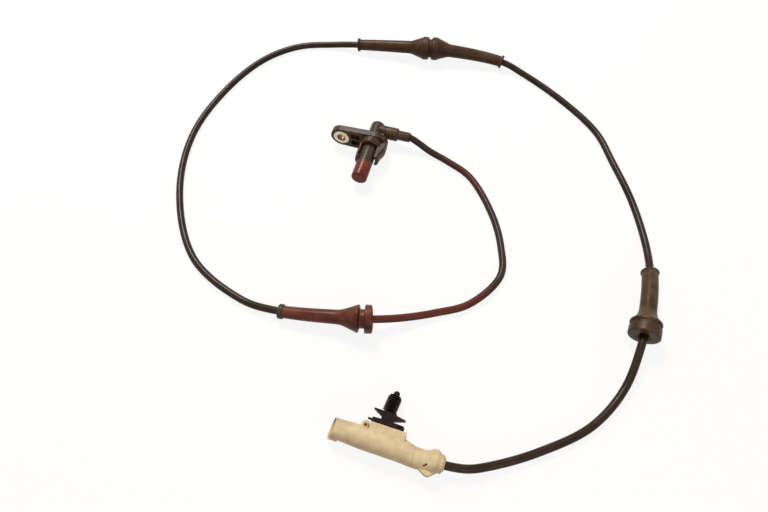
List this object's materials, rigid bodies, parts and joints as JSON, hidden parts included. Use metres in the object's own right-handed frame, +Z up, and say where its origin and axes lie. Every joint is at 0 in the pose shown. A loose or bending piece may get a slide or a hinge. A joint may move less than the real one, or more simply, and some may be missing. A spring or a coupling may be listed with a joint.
{
  "type": "wheel speed sensor",
  "caption": "Wheel speed sensor head with a side flange and probe, on a long loosely laid cable with rubber grommets, a round plug and a push-in clip.",
  "frame": {"origin": "on the surface the part lies on, under the middle of the sensor head (the head without its strain relief)", "axes": "+Z up from the surface; -Y along the probe towards its tip; +X from the flange ear towards the cable outlet"},
  "size_m": [0.3701, 0.3542, 0.0216],
  "materials": {
    "body_plastic": "satin, olive-brown moulding",
    "capsule_plastic": "glossy, red-brown",
    "carrier_plastic": "matte",
    "chip_plastic": "satin",
    "magnet_metal": "plain sintered metal",
    "bush_metal": "bright, slightly warm",
    "lead_metal": "tinned",
    "capacitor_ceramic": null,
    "sheath_plastic": "glossy, dark brown",
    "core_brown": "satin",
    "core_blue": "satin",
    "red_brown_rubber": "satin, red-brown",
    "dark_rubber": "satin, dark brown",
    "grey_brown_rubber": "satin, grey-brown",
    "plug_plastic": "satin, cream",
    "lock_plastic": "matte",
    "seal_rubber": "matte",
    "clip_plastic": "satin, black-brown"
  },
  "bodies": {
    "root": {"sensor_body": "body_plastic", "mounting_bush": "bush_metal", "probe_capsule": "capsule_plastic", "chip_carrier": "carrier_plastic", "sensing_chip": "chip_plastic", "back_magnet": "magnet_metal", "capacitor": "capacitor_ceramic", "lead_supply": "lead_metal", "crimp_supply": "lead_metal", "core_supply": "core_brown", "lead_signal": "lead_metal", "crimp_signal": "lead_metal", "core_signal": "core_blue", "strain_relief": "body_plastic", "cable": "sheath_plastic", "grommet_near_sensor": "red_brown_rubber", "grommet_middle": "dark_rubber", "grommet_near_plug": "grey_brown_rubber", "plug_housing": "plug_plastic", "plug_rear_cap": "plug_plastic", "terminal_supply": "lead_metal", "wire_seal_supply": "seal_rubber", "plug_core_supply": "core_brown", "terminal_signal": "lead_metal", "wire_seal_signal": "seal_rubber", "plug_core_signal": "core_blue", "terminal_lock": "lock_plastic", "mouth_seal": "seal_rubber", "push_in_clip": "clip_plastic"}
  },
  "joints": []
}
